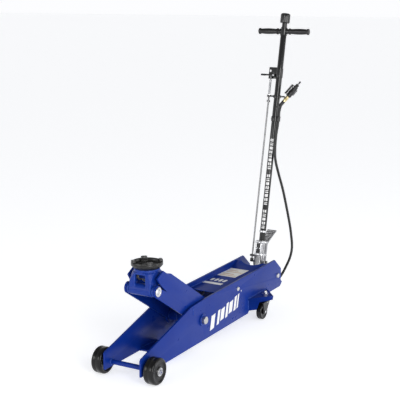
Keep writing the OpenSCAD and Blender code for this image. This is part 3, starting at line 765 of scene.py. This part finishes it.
def make_chassis():
    lid_run = (602, 700, 800, 900, 984)
    for side, name in ((1, "left"), (-1, "right")):
        finished(name + "_side_plate", BLUE, 1.5, 3)
        finished(name + "_outrigger", BLUE, 1.2, 3)
        x = (PLATE_OUT + 0.4) * side
        weld(name + "_outrigger_weld", [
            [chassis(x, y, 112.6) for y in (842, 880, 930, 980, 1028)],
            [chassis(x, y, 103.4) for y in (850, 900, 960, 1026)],
            [chassis(x, 840.5, z) for z in (58, 75, 92, 104)]], 2.8, "frame")
        weld(name + "_axle_weld", [circle_run(
            Vector((79.4 * side * MM, AXLE_Y, AXLE.z)), X_AXIS, 10.8, 30)], 3.2, "frame")
        weld(name + "_rail_weld", [
            [chassis((PLATE_IN - 0.4) * side, y, 44.6) for y in (202, 240, 290, 328)],
            [chassis((PLATE_IN - 0.4) * side, y, 35.4) for y in (202, 240, 290, 328)],
            [chassis((PLATE_IN - 0.6) * side, y, COVER_TOP + 0.6) for y in lid_run],
            [chassis((PLATE_IN - 0.6) * side, y, COVER_TOP - 4.6) for y in lid_run]], 2.4,
             "frame")
        weld(name + "_bend_weld", [[chassis(x, 349, z) for z in (210, 198, 184, 172)]], 1.9,
             "frame")
        collar = lathe(name + "_pivot_collar.body", [
            (16.3, 0.1), (25, 0.1), (26, 0.9), (26, 4.6), (25, 5.4), (16.3, 5.4)],
            ARM_PIVOT + X_AXIS * side * PLATE_OUT * MM, X_AXIS * side, BLUE, 56, closed=True)
        attach(collar, "frame", "blue_paint")
        bars(name, side)
    finished("arm_pivot_shaft", STEEL, 1.4, 3)
    finished("front_axle", BLUE, 1.2, 2)
    finished("axle_hardware", ZINC, 0.5)
    for side in (-1, 1):
        end = lathe(f"axle_end_{side_name(side)}.body", [
            (10.05, 145.4), (10.1, 151.6), (9.2, 152.7), (3.2, 152.9), (2.2, 151.6), (0, 151.2),
            (0, 145.4)], Vector((0, AXLE_Y, AXLE.z)), X_AXIS * side, DULL_ZINC, 48)
        attach(end, "frame", "zinc")
    finished("lower_cross_plate", BLUE, 1.2)
    finished("top_cover", BLUE, 1.0, 2)
    cover_prints()
    for side in (-1, 1):
        tag = side_name(side)
        for y, z, r, name in ((738, 186, 9.5, "rod"), (1143, 148, 11, "yoke")):
            dome = lathe(f"{tag}_{name}_head.body", [
                (0, 6.6), (r * 0.4, 6.4), (r * 0.75, 5.2), (r * 0.95, 3.2), (r, 1.4),
                (r, 0.2), (0, 0.2)],
                chassis((PLATE_OUT + 0.1) * side, y, z), X_AXIS * side, ZINC, 48)
            attach(dome, "frame", "zinc")
    finished("spring_cross_rod", ZINC, 1.2, 3)
    finished("yoke_pivot_bolts", ZINC, 1.2, 3)
    finished("caster_kingpins", ZINC, 0.9, 2)
    for side in (-1, 1):
        tag = side_name(side)
        acorn = lathe(tag + "_kingpin_cap.body", [
            (0, 17.6), (3.5, 17.1), (6.4, 15.4), (8.2, 12.6), (8.6, 10), (8.6, 9.4), (0, 9.4)],
            chassis(119.5 * side, 950, 112), Z_AXIS, ZINC, 48)
        attach(acorn, "frame", "zinc")
        washer = lathe(tag + "_kingpin_washer.body", [
            (6.3, 0.05), (14.4, 0.05), (15, 0.6), (15, 1.9), (14.4, 2.4), (6.3, 2.4)],
            chassis(119.5 * side, 950, 112), Z_AXIS, ZINC, 56, closed=True)
        attach(washer, "frame", "zinc")


def bars(name, side):
    """Row of slanted white bars along the side plate, in place of lettering."""
    lean = 0.24
    rise = 37 / 257
    outlines = []
    for start, width, low, high in ((488, 34, 0, 62), (546, 20, 0, 62), (576, 32, 6, 56),
                                    (622, 20, 0, 62), (652, 32, 6, 56), (698, 20, 0, 62),
                                    (727, 13, 0, 62)):
        base = 63 + (start - 488) * rise
        outlines.append([(start + low * lean, base + low),
                         (start + width + low * lean, base + low + width * rise),
                         (start + width + high * lean, base + high + width * rise),
                         (start + high * lean, base + high)])
    dot = [(772 + 3.2 * math.cos(a), 168 + 3.2 * math.sin(a))
           for a in (2 * math.pi * i / 20 for i in range(20))]
    prism(name + "_side_bars.decal", outlines + [dot],
          lambda u, v, w: chassis((PLATE_OUT + 0.02 + w) * side, u, v), 0.16, "frame", "blue_paint",
          WHITE_PRINT)


def cover_prints():
    """Pale label with two tinted bands and a white mark on the lid."""
    def on_lid(u, v, w):
        return chassis(u, v, COVER_TOP + 0.02 + w)

    prism("cover_label.decal", [rounded_box(-78, 846, 16, 990, 3)], on_lid, 0.18, "frame",
          "blue_paint", LABEL)
    bands = [rounded_box(-71, y, 9 - cut, y + 8, 1.5)
             for y, cut in ((862, 0), (886, 22), (922, 0), (946, 30))]
    prism("cover_label_bands.decal", bands, lambda u, v, w: on_lid(u, v, w + 0.2), 0.1,
          "frame", "blue_paint", LABEL_BAND)
    mark = [rounded_box(-77, 708, 17, 735, 2)]
    mark += [rounded_box(-68 + 21 * i, 757, -54 + 21 * i, 794, 5) for i in range(4)]
    prism("cover_mark.decal", mark, on_lid, 0.16, "frame", "blue_paint", WHITE_PRINT)


# ------------------------------------------------------------ hydraulic unit

def make_hydraulics():
    finished("hydraulic_cylinder", GREY_PAINT, 1.5, 3)
    finished("reservoir_tube", BLUE_CAST, 1.5, 3)
    finished("pump_block", BLACK_CAST, 1.6, 3, slot="grey_paint")
    finished("air_motor", GREY_PAINT, 0.8, 2)
    finished("hose_gland", BRASS, 0.7, 2)
    finished("rod_bracket", BLUE_CAST, 1.2, 2)
    finished("ram_rod", CHROME, 1.0, 2)
    finished("pump_plunger", CHROME, 0.6, 2)
    for i in range(6):
        a = math.radians(60 * i + 30)
        hex_bolt(f"gland_bolt_{i}", chassis(55 + 17 * math.cos(a), 1152.2,
                 94 + 17 * math.sin(a)), Y_AXIS, 2.6, 2.4, "frame", washer=False)
        ring = lathe(f"motor_fin_{i}.body", [(18.1, -2.2), (20.6, -1.8), (20.6, 1.8),
                                             (18.1, 2.2)],
                     chassis(55, 1038 + 16 * i, 94), Y_AXIS, GREY_PAINT, 48, closed=True)
        attach(ring, "frame", "grey_paint")
    for x, z in ((-22, 60), (22, 60), (-22, 118), (24, 118)):
        hex_bolt(f"block_bolt_{x}_{z}".replace("-", "m"), chassis(x, 1085.1, z), Y_AXIS, 5.2,
                 4.2, "frame", material=BLACK_CAST)
    for y in (1010, 1040, 1066):
        hex_bolt(f"block_plug_{y}", chassis(-30.1, y, 84), -X_AXIS, 6.6, 4.6, "frame",
                 material=ZINC)
    hex_bolt("tank_filler", chassis(0, 905, 112.6), Z_AXIS, 8.5, 6.0, "frame",
             material=ZINC)
    for y in (604, 980):
        ring = circle_run(chassis(0, y, 71), Y_AXIS, 42.4, 60)
        weld(f"tank_weld_{y}", [ring], 2.3, "frame")
    bm = bmesh.new()
    coil(bm, chassis(13.5, 1085.4, 113), chassis(13.5, 1128.1, 113), 7.85 * MM, 0.85 * MM, 7)
    spring = from_bmesh("plunger_spring.body", bm, ZINC, 60)
    attach(spring, body_of("plunger_spring"), "zinc", "plunger_spring")
    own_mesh(spring)


# ------------------------------------------------------------ lift arm and saddle

def make_arm():
    for side, name in ((1, "left"), (-1, "right")):
        finished(name + "_arm_plate", BLUE, 1.4, 3)
        x = 65 * side
        weld(name + "_arm_weld", [
            [on_arm(x - 0.5 * side, u, 87.6) for u in (127, 200, 280, 350, 396)],
            [on_arm(x + 0.4 * side, u, 95.6) for u in (127, 200, 280, 350, 396)],
            circle_run(ARM_PIVOT + X_AXIS * (x - 0.6 * side) * MM, X_AXIS, 25.4, 36)], 2.4,
            "arm")
        weld(name + "_lever_weld", [
            circle_run(ARM_PIVOT + X_AXIS * 24.6 * side * MM, X_AXIS, 25.6, 36),
            circle_run(ARM_PIVOT + X_AXIS * 35.4 * side * MM, X_AXIS, 25.6, 36)], 2.2, "arm")
    finished("arm_web", BLUE, 1.2, 2)
    finished("arm_pivot_tube", BLUE, 0.8, 2)
    finished("lever_plates", BLUE, 1.0, 2)
    finished("lever_pin", STEEL, 1.0, 2)
    finished("lever_roller", STEEL, 1.2, 2)
    for side in (-1, 1):
        spacer = lathe(f"pin_spacer_{side_name(side)}.body", [
            (16.1, 50.5), (18.6, 50.5), (18.6, 53.2), (20.6, 53.4), (21.8, 54.4), (22, 55.4),
            (22, 59.6), (21.8, 60.6), (20.6, 61.6), (18.6, 61.8), (18.6, 64.7), (16.1, 64.7)],
            SADDLE_PIN, X_AXIS * side, BLUE_CAST, 64, closed=True)
        attach(spacer, body_of("pin_spacers"), "blue_paint", "pin_spacers")
    finished("radius_rods", GREY_PAINT, 1.2, 2, slot="zinc")
    pin = lathe("saddle_pin.body", [
        (0, -70), (16, -70), (16, 72.4), (18.2, 72.4), (19.5, 73.2), (19.5, 74.8),
        (18.4, 76), (15.2, 76.2), (14.8, 75.7), (13.6, 75.7), (13.2, 76.2), (0, 76.3)],
        SADDLE_PIN, X_AXIS, ZINC, 72)
    attach(pin, body_of("saddle_pin"), "zinc", "saddle_pin")
    cap = lathe("saddle_pin_cap.body", [
        (0, 69.9), (16, 69.9), (16, 72.4), (18.2, 72.4), (19.5, 73.2), (19.5, 74.8),
        (18.4, 76), (0, 76.2)], SADDLE_PIN, -X_AXIS, BLUE, 72)
    attach(cap, body_of("saddle_pin"), "blue_paint")
    # Two black discs on the pin's end face are painted shade standing in for two holes.
    for u, v in ((-2, 8.5), (-3, -8.5)):
        hole_shade_disc = lathe(f"saddle_pin_hole_shade_{'up' if v > 0 else 'low'}.body", [
            (0, 0.1), (1.6, 0.1), (2.3, 0.28), (2.3, -0.6), (0, -0.6)],
            on_arm(76.25, u, v), X_AXIS, BLACK_CAST, 24)
        attach(hole_shade_disc, body_of("saddle_pin"), "zinc")
    return_springs()


def return_springs():
    """Two extension springs with hooked ends, from the lever's pin to the cross rod."""
    low = LEVER_PIN
    high = chassis(0, 738, 186)
    away = (high - low).normalized()
    bm = bmesh.new()
    for side in (-1, 1):
        shift = X_AXIS * 57 * side * MM
        start, end = low + shift + away * 14 * MM, high + shift - away * 10 * MM
        coil(bm, start, end, 4.35 * MM, 1.1 * MM, 96, 6, 10, ends=False)
        up = X_AXIS.cross(away).normalized()
        for center, radius, heading in ((low + shift, 11.3, away), (high + shift, 7.4, -away)):
            hook = []
            for i in range(15):
                a = math.radians(20 + 320 * i / 14)
                hook.append(center + radius * MM * (math.cos(a) * heading + math.sin(a) * up))
            sweep(bm, hook, 1.1 * MM, 6)
    springs = from_bmesh("return_springs.body", bm, DULL_ZINC, 60)
    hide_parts("return_springs")
    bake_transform(springs)


def make_saddle():
    cast("saddle_mount", BLUE_CAST, "blue_paint", 1.5, 6)
    post_length = 19
    center = Vector((SADDLE_AT.x, SADDLE_AT.y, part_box("saddle")[0].z + post_length * MM))
    dish = lathe("saddle.body", [
        (0, -post_length), (13.6, -post_length), (15, -17.6), (15, 0), (50, 0), (52, 0.9), (56.4, 5),
        (61.4, 10.6), (63.4, 13.2), (64, 15), (64, 23.4), (63.2, 24.6), (61.6, 25),
        (59.4, 25), (58, 24.4), (57, 23), (55.8, 17), (54.6, 14.4), (52, 12.6), (46, 11.6),
        (40, 11.4), (39, 12.4), (36, 12.4), (35, 11.2), (20, 10.6), (18.6, 13.2), (17, 14),
        (8, 14), (6.4, 13), (5.6, 10.8), (0, 10.6)], center, Z_AXIS, BLACK_CAST, 96)
    attach(dish, body_of("saddle"), "black_cast", "saddle")
    bm = bmesh.new()
    for k in range(4):
        turn = math.radians(45 + 90 * k)
        rows = []
        for z, inner, outer, spread in ((11.5, 49.6, 62.6, 13.2), (20, 49.8, 63.4, 12.9),
                                        (29.5, 50.2, 63.4, 12.5), (32.4, 51.4, 62.6, 11.4),
                                        (33, 53, 61.2, 10)):
            row = []
            for radius, order in ((inner, range(7)), (outer, reversed(range(7)))):
                for i in order:
                    across = spread * (i / 3 - 1)
                    a = turn + math.asin(max(-1, min(1, across / radius)))
                    row.append(bm.verts.new(center + Vector((
                        radius * MM * math.cos(a), radius * MM * math.sin(a), z * MM))))
            rows.append(row)
        skin(bm, rows)
        for offset in (0, 45):
            a = turn + math.radians(offset)
            heading = Matrix.Rotation(a, 3, "Z")
            reach = (19, 53) if offset else (19, 50)
            add_block(bm, center + heading @ Vector(((reach[0] + reach[1]) / 2 * MM, 0,
                                                    12.2 * MM)),
                      Vector(((reach[1] - reach[0]) / 2, 2.0, 1.7)) * MM, heading)
    round_edges(bm, 0.9 * MM, 2, 40)
    attach(from_bmesh("saddle_lugs.body", bm, BLACK_CAST, 50), body_of("saddle"), "black_cast")


# ------------------------------------------------------------ handle

# Places along the handle, in millimetres from the yoke.
TUBE_TOP = 1150
GRIP_S = TUBE_TOP + 19
KNOB_S = GRIP_S + 38
LEVER_S = 957
GUIDE_TOP = 859.2


def handle_box(bm, x0, x1, y0, y1, s0, s1):
    add_block(bm, on_handle((x0 + x1) / 2, (y0 + y1) / 2, (s0 + s1) / 2),
              Vector((x1 - x0, y1 - y0, s1 - s0)) / 2 * MM, HANDLE_TURN)


def ring_on_handle(name, profile, s, material, slot, body="handle", x=0.0, back=0.0,
                   count=64):
    piece = lathe(name, profile, on_handle(x, back, s), HANDLE_DIR, material, count,
                  closed=profile[0][0] > 0)
    return attach(piece, body, slot)


def make_handle():
    finished("handle_socket", DULL_ZINC, 1.1, 3)
    finished("handle_tube", BLACK_PAINT, 0.6, 2)
    finished("tube_collar", ZINC, 1.0, 3)
    finished("yoke_roller", STEEL, 0.8, 2)
    finished("t_bar", BLACK_PAINT, 1.4, 3)
    finished("hose_clip", BLACK_PAINT, 0.7, 2)
    finished("release_rod", ZINC, 0.6, 2)
    finished("release_valve", STEEL, 0.6, 2)
    socket_details()
    pedal()
    grips()
    knob()
    controls()
    handle_print()


def socket_details():
    ring_on_handle("socket_lip.body", [
        (14.9, 156.4), (28.4, 156.4), (29.6, 154.6), (29.6, 149), (29.05, 148.4), (28, 157.4),
        (20, 159.4), (14.9, 159.4)], 0, ZINC, "zinc")
    ring_on_handle("socket_band.body", [(28.8, 88), (30.2, 88.8), (30.2, 95.2), (28.8, 96)],
                   0, ZINC, "zinc")
    bm = bmesh.new()
    for x in (-15, 10):
        handle_box(bm, x, x + 5, -33.5, -24, 97, 146)
    round_edges(bm, 1.4 * MM, 3)
    attach(from_bmesh("socket_ears.body", bm, ZINC), "handle", "zinc")
    bm = bmesh.new()
    handle_box(bm, -9.5, 9.5, -29.4, -27.2, 98, 143)
    round_edges(bm, 0.8 * MM, 2)
    attach(from_bmesh("socket_slot.body", bm, BLACK_CAST), "handle", "black_cast")
    for x in (-17, 17):
        hex_bolt(f"socket_bolt_{'a' if x > 0 else 'b'}", on_handle(x, -23.2, 151),
                 HANDLE_BACK * -1, 6.4, 5.0, "handle")
    for x in (-6, 6):
        hex_bolt(f"socket_screw_{'a' if x > 0 else 'b'}", on_handle(x, -29.0, 121),
                 HANDLE_BACK * -1, 3.6, 2.6, "handle", washer=False)


def pedal():
    """Curved foot pedal that widens towards its tip, with ribs across both faces."""
    half_thick = 3.3
    stations = smooth_line([Vector(p) for p in (
        (12, 33, 92), (12, 33, 120), (13, 38, 142), (17, 53, 164), (21, 74, 186),
        (24.5, 101, 209))], 6)
    bm = bmesh.new()
    ribs = bmesh.new()
    rows = []
    for k, (wide, back, up) in enumerate(stations):
        before, after = stations[max(k - 1, 0)], stations[min(k + 1, len(stations) - 1)]
        along = Vector((after.y - before.y, after.z - before.z)).normalized()
        out = Vector((along.y, -along.x)) * half_thick
        rows.append([bm.verts.new(on_handle(x, back + f * out.x, up + f * out.y))
                     for x, f in ((-wide, -1), (wide, -1), (wide, 1), (-wide, 1))])
        if up > 138 and k % 2 == 0 and k < len(stations) - 1:
            for f in (-1.1, 1.1):
                sweep(ribs, [on_handle(x * (wide - 2), back + f * out.x, up + f * out.y)
                             for x in (-1, -0.5, 0, 0.5, 1)], 1.7 * MM, 8)
    skin(bm, rows)
    bmesh.ops.recalc_face_normals(bm, faces=bm.faces)
    round_edges(bm, 1.1 * MM, 3, 40)
    attach(from_bmesh("foot_pedal.body", bm, PEDAL), "handle", "zinc", "foot_pedal")
    attach(from_bmesh("foot_pedal_ribs.body", ribs, ZINC, 60), "handle", "zinc")
    weld("foot_pedal_weld", [[on_handle(x, 29.4, 139) for x in (-11, 0, 11)],
                             [on_handle(x, 29.4, 93) for x in (-11, 0, 11)],
                             [on_handle(12.3, 28, s) for s in (94, 115, 138)],
                             [on_handle(-12.3, 28, s) for s in (94, 115, 138)]], 2.2,
         "handle", DULL_ZINC)


def grips():
    """Barrel-shaped grips on the cross bar, each with two rings at its inner end."""
    for side in (-1, 1):
        tag = side_name(side)
        profile = [(11.6, 28), (14.2, 28), (15, 28.8), (15, 31), (14.3, 31.8), (13.6, 32),
                   (14.3, 32.2), (15, 33), (15, 35.2), (14.2, 36), (12.3, 36.6), (12.1, 40),
                   (12.7, 48), (13.5, 60), (14.1, 74), (14.2, 84), (13.7, 98), (12.9, 110),
                   (12.2, 118), (12.4, 121), (14, 123), (15, 124.6), (15, 129), (14.2, 130.4),
                   (12.8, 131), (0, 131), (0, 129), (11.6, 129)]
        grip = lathe(tag + "_grip.body", profile, on_handle(0, 0, GRIP_S), X_AXIS * side,
                     GRIP, 56)
        attach(grip, "handle", "rubber", "hand_grips")
    weld("t_bar_weld", [circle_run(on_handle(18.4, 0, GRIP_S), X_AXIS, 12.2, 30),
                        circle_run(on_handle(-18.4, 0, GRIP_S), X_AXIS, 12.2, 30),
                        circle_run(on_handle(0, 0, TUBE_TOP + 0.4), HANDLE_DIR, 15.4, 30)], 1.8,
         "handle", BLACK_PAINT)


def knob():
    """Fluted release knob with a domed top and a neck."""
    bm = bmesh.new()
    count = 96
    rows = []
    for radius, height, depth in ((11, 1.6, 0), (20, 1.6, 0), (22.2, 2.6, 0.4), (23, 5, 1),
                                  (23, 24, 1), (23, 40, 1), (22, 44.4, 0.6), (19, 47, 0.1),
                                  (12, 48, 0), (3, 48, 0)):
        row = []
        for i in range(count):
            a = 2 * math.pi * i / count
            flute = max(0.0, math.cos(10 * a)) ** 2
            r = (radius - 1.7 * depth * flute) * MM
            row.append(bm.verts.new((r * math.cos(a), r * math.sin(a), height * MM)))
        rows.append(row)
    skin(bm, rows)
    add_cylinder(bm, 12.4, -18, 2, 48, 12.2)
    bmesh.ops.transform(bm, verts=bm.verts, matrix=Matrix.Translation(
        on_handle(0, 0, KNOB_S)) @ HANDLE_TURN.to_4x4())
    piece = from_bmesh("release_knob.body", bm, BLACK_PAINT, 50)
    attach(piece, body_of("release_knob"), "black_paint", "release_knob")


def controls():
    finished("control_bracket", BLACK_PAINT, 1.0, 3)
    finished("control_lever", BLACK_PAINT, 1.4, 3)
    finished("rod_guide", BLACK_PAINT, 0.9, 3)
    finished("control_rod", ROD_GREY, 0.7, 2)
    bm = bmesh.new()
    rod_x, rod_back = -40, -8
    coil(bm, on_handle(rod_x, rod_back, 868.2), on_handle(rod_x, rod_back, 933.8), 5.25 * MM,
         1.2 * MM, 25, 8, 16)
    sleeve = from_bmesh("rod_sleeve.body", bm, ZINC, 60)
    attach(sleeve, body_of("rod_sleeve"), "zinc", "rod_sleeve")
    bm = bmesh.new()
    handle_box(bm, rod_x - 6.4, rod_x + 6.4, rod_back - 6.4, rod_back + 6.4, 51.7,
               70.4)
    round_edges(bm, 1.4 * MM, 3)
    attach(from_bmesh("rod_clevis.body", bm, BLACK_CAST), body_of("control_rod"), "black_cast")
    hex_bolt("guide_nut", on_handle(rod_x, rod_back, GUIDE_TOP), HANDLE_DIR, 8.5, 4.2,
             "handle", domed=False)
    hex_bolt("lever_pivot_nut", on_handle(-26, -11.1, LEVER_S), HANDLE_BACK * -1, 4.6, 3.0,
             "handle", washer=False)
    hex_bolt("guide_bolt", on_handle(18.6, 0, 855), X_AXIS, 4.0, 2.8, "handle", washer=False)
    hex_bolt("clip_bolt", on_handle(-17.6, 0, 748), -X_AXIS, 4.0, 2.8, "handle",
             washer=False)
    grip = lathe("control_lever_cap.body", [
        (0, -13), (3.8, -12.6), (4.6, -11.4), (4.6, 10), (4.2, 11), (0, 11.2)],
        on_handle(-81, -8, LEVER_S + 0.2), X_AXIS, RUBBER, 32)
    attach(grip, body_of("control_lever"), "black_paint")


def handle_print():
    """Pattern of white blocks down the label on the tube, in place of lettering."""
    bm = bmesh.new()
    rows = 24
    facing = math.radians(-90 + 16)
    step = 458 / rows

    def patch(a0, a1, s0, s1, r=14.66):
        ring = []
        for s in (s0, s1):
            order = range(7) if s == s0 else reversed(range(7))
            for i in order:
                a = a0 + (a1 - a0) * i / 6
                ring.append((r * math.cos(a), r * math.sin(a), s))
        outer = [bm.verts.new(on_handle(*p)) for p in ring]
        inner = [bm.verts.new(on_handle(p[0] * 0.994, p[1] * 0.994, p[2])) for p in ring]
        for i in range(6):
            bm.faces.new((outer[i], outer[i + 1], outer[12 - i], outer[13 - i]))
            bm.faces.new((inner[i + 1], inner[i], inner[13 - i], inner[12 - i]))
        for i in range(14):
            k = (i + 1) % 14
            bm.faces.new((outer[k], outer[i], inner[i], inner[k]))

    for k in range(rows):
        if k % 9 == 5:
            continue
        s = 218 + step * k
        wide, tall = math.radians(31), step * 0.68
        if k % 3 == 0:
            patch(facing - wide, facing + wide, s, s + tall * 0.42)
            patch(facing - wide, facing + wide, s + tall * 0.72, s + tall)
        elif k % 3 == 1:
            patch(facing - wide, facing - wide * 0.15, s, s + tall)
            patch(facing + wide * 0.15, facing + wide, s, s + tall)
        else:
            patch(facing - wide, facing + wide, s, s + tall)
    attach(from_bmesh("handle_print.decal", bm, WHITE_PRINT), "handle", "black_paint")


# ------------------------------------------------------------ build

make_camera()
make_cords()
make_studio()
make_chassis()
make_hydraulics()
make_wheels()
make_arm()
make_saddle()
make_handle()
